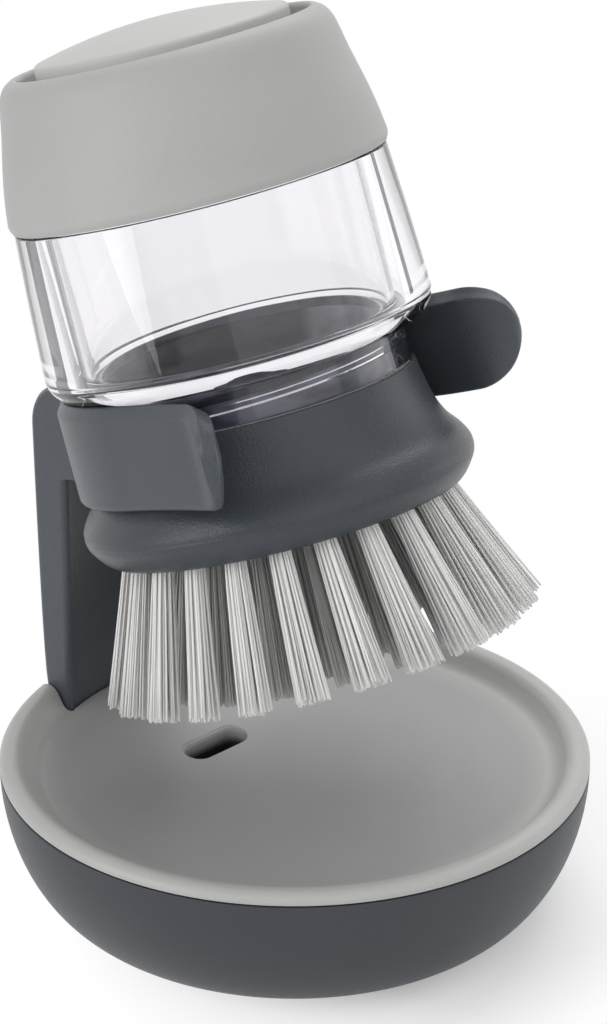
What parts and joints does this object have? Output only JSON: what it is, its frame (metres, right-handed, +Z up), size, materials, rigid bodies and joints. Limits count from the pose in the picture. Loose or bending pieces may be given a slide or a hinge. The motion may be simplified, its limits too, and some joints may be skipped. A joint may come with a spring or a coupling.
{
  "type": "soap-dispensing palm brush in a storage stand",
  "caption": "Palm brush with a clear soap reservoir, push-button pump and splayed tufts, leaning head down in the forked cradle of a round drip-tray stand.",
  "frame": {"origin": "middle of the stand's underside, on the surface that it stands on", "axes": "+Z up; +Y towards the stand's post; the cradle opens towards -Y; the brush leans from -Y at its bristles to +Y at its button"},
  "size_m": [0.11, 0.1164, 0.1704],
  "materials": {
    "pad_rubber": "soft matt non-slip foam rubber",
    "bowl_plastic": "dark grey, fine moulded texture",
    "dark_plastic": "dark grey, fine moulded texture",
    "tray_plastic": "light grey, satin",
    "cap_plastic": "light grey, soft-touch matt",
    "button_plastic": "light grey, soft-touch matt",
    "plate_plastic": "mid grey, matt",
    "clear_plastic": "clear polished plastic with a faint violet cast",
    "silicone": "translucent silicone, matt",
    "bristle": "pale grey nylon filament",
    "steel": "bright stainless steel"
  },
  "bodies": {
    "stand": {"base_bowl": "bowl_plastic", "base_pad": "pad_rubber", "post_screw_left": "steel", "post_screw_right": "steel", "cradle_post": "dark_plastic"},
    "tray": {"drip_tray": "tray_plastic"},
    "head": {"brush_head": "dark_plastic", "tuft_plate": "plate_plastic", "outlet_valve": "silicone", "valve_retainer": "plate_plastic", "tuft_outer_01": "bristle", "tuft_outer_02": "bristle", "tuft_outer_03": "bristle", "tuft_outer_04": "bristle", "tuft_outer_05": "bristle", "tuft_outer_06": "bristle", "tuft_outer_07": "bristle", "tuft_outer_08": "bristle", "tuft_outer_09": "bristle", "tuft_outer_10": "bristle", "tuft_outer_11": "bristle", "tuft_outer_12": "bristle", "tuft_outer_13": "bristle", "tuft_outer_14": "bristle", "tuft_outer_15": "bristle", "tuft_outer_16": "bristle", "tuft_outer_17": "bristle", "tuft_outer_18": "bristle", "tuft_outer_19": "bristle", "tuft_outer_20": "bristle", "tuft_outer_21": "bristle", "tuft_outer_22": "bristle", "tuft_middle_01": "bristle", "tuft_middle_02": "bristle", "tuft_middle_03": "bristle", "tuft_middle_04": "bristle", "tuft_middle_05": "bristle", "tuft_middle_06": "bristle", "tuft_middle_07": "bristle", "tuft_middle_08": "bristle", "tuft_middle_09": "bristle", "tuft_middle_10": "bristle", "tuft_middle_11": "bristle", "tuft_middle_12": "bristle", "tuft_middle_13": "bristle", "tuft_middle_14": "bristle", "tuft_inner_01": "bristle", "tuft_inner_02": "bristle", "tuft_inner_03": "bristle", "tuft_inner_04": "bristle", "tuft_inner_05": "bristle", "tuft_inner_06": "bristle"},
    "neck_seal": {"neck_gasket": "silicone"},
    "reservoir": {"reservoir": "clear_plastic", "pump_diaphragm": "silicone", "diaphragm_clamp": "plate_plastic", "grip_cap": "cap_plastic", "return_spring": "steel"},
    "button": {"push_button": "button_plastic"}
  },
  "joints": [
    {"name": "brush_slide", "type": "slide", "parent": "stand", "child": "head", "axis": [0, -0.9361, 0.3518], "range_m": [0, 0.09]},
    {"name": "tray_lift", "type": "slide", "parent": "stand", "child": "tray", "axis": [0, 0, 1], "range_m": [0, 0.006]},
    {"name": "reservoir_rise", "type": "slide", "parent": "head", "child": "neck_seal", "axis": [0, 0.3518, 0.9361], "range_m": [0, 0.006]},
    {"name": "reservoir_turn", "type": "hinge", "parent": "neck_seal", "child": "reservoir", "pos_m": [0, 0.00875, 0.09442], "axis": [0, 0.3518, 0.9361], "range_deg": [0, 360]},
    {"name": "button_press", "type": "slide", "parent": "reservoir", "child": "button", "axis": [0, -0.3518, -0.9361], "range_m": [0, 0.004], "stiffness_N_per_m": 400, "springref_m": -0.003, "deforming": ["return_spring", "pump_diaphragm"]}
  ],
  "couplings": [
    {"joint": "reservoir_rise", "follows": "reservoir_turn", "m_per_rad": 0.0009549}
  ]
}
